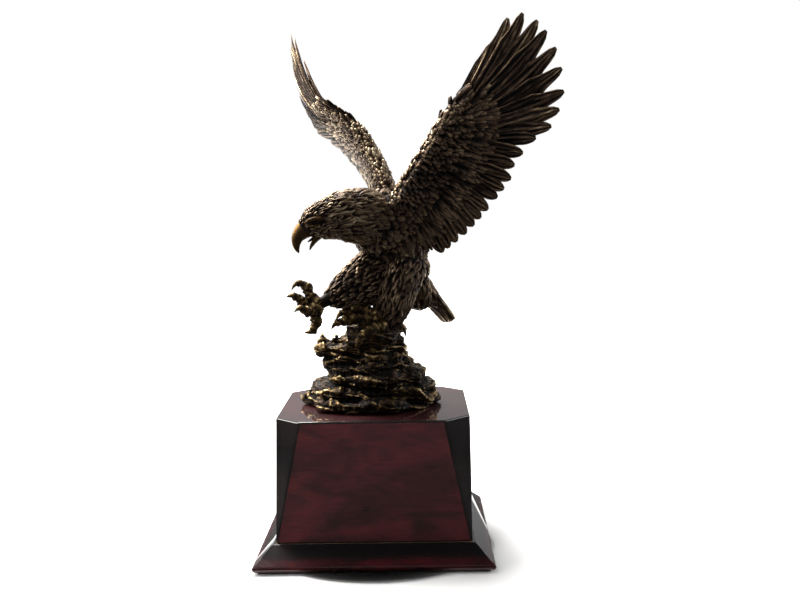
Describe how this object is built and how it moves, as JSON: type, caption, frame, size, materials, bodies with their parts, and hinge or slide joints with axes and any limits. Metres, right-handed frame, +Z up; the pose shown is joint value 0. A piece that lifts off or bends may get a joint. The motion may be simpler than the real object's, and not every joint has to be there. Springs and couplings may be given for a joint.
{
  "type": "bronze eagle statuette",
  "caption": "Cast bronze eagle with raised wings landing on a crag, pinned together and bolted to a lacquered rosewood plinth with sawn corners and a sloped base.",
  "frame": {"origin": "middle of the felt pad's underside, where the base rests", "axes": "+Z up, the plinth's front face towards -Y, +X to the right of the front"},
  "size_m": [0.2277, 0.2057, 0.4101],
  "materials": {
    "antique_bronze": "dark brown patina, high edges rubbed back to gold",
    "crag_bronze": "dark patina with olive and gold rubbed edges",
    "lacquered_rosewood": "high-gloss clear lacquer over dark rosewood veneer",
    "raw_board": "raw fibreboard",
    "glue_block_pine": "sawn pine",
    "zinc_plated_steel": "zinc plated",
    "black_felt": "felt"
  },
  "bodies": {
    "root": {"torso": "antique_bronze", "head_and_neck": "antique_bronze", "left_wing": "antique_bronze", "right_wing": "antique_bronze", "tail": "antique_bronze", "raised_leg": "antique_bronze", "standing_leg": "antique_bronze", "rock_mound": "crag_bronze", "plinth_top_board": "lacquered_rosewood", "plinth_front_panel": "lacquered_rosewood", "plinth_back_panel": "lacquered_rosewood", "plinth_left_panel": "lacquered_rosewood", "plinth_right_panel": "lacquered_rosewood", "base_moulding_front": "lacquered_rosewood", "base_moulding_right": "lacquered_rosewood", "base_moulding_back": "lacquered_rosewood", "base_moulding_left": "lacquered_rosewood", "base_board": "raw_board", "glue_block_front_left": "glue_block_pine", "base_screw_front_left": "zinc_plated_steel", "glue_block_front_right": "glue_block_pine", "base_screw_front_right": "zinc_plated_steel", "glue_block_back_left": "glue_block_pine", "base_screw_back_left": "zinc_plated_steel", "glue_block_back_right": "glue_block_pine", "base_screw_back_right": "zinc_plated_steel", "mounting_stud_left": "zinc_plated_steel", "mounting_washer_left": "zinc_plated_steel", "mounting_nut_left": "zinc_plated_steel", "mounting_stud_right": "zinc_plated_steel", "mounting_washer_right": "zinc_plated_steel", "mounting_nut_right": "zinc_plated_steel", "left_wing_pin_upper": "zinc_plated_steel", "left_wing_pin_lower": "zinc_plated_steel", "right_wing_pin_upper": "zinc_plated_steel", "right_wing_pin_lower": "zinc_plated_steel", "neck_pin": "zinc_plated_steel", "tail_pin": "zinc_plated_steel", "raised_leg_pin": "zinc_plated_steel", "standing_leg_pin": "zinc_plated_steel", "foot_stud": "zinc_plated_steel", "felt_pad": "black_felt"}
  },
  "joints": []
}
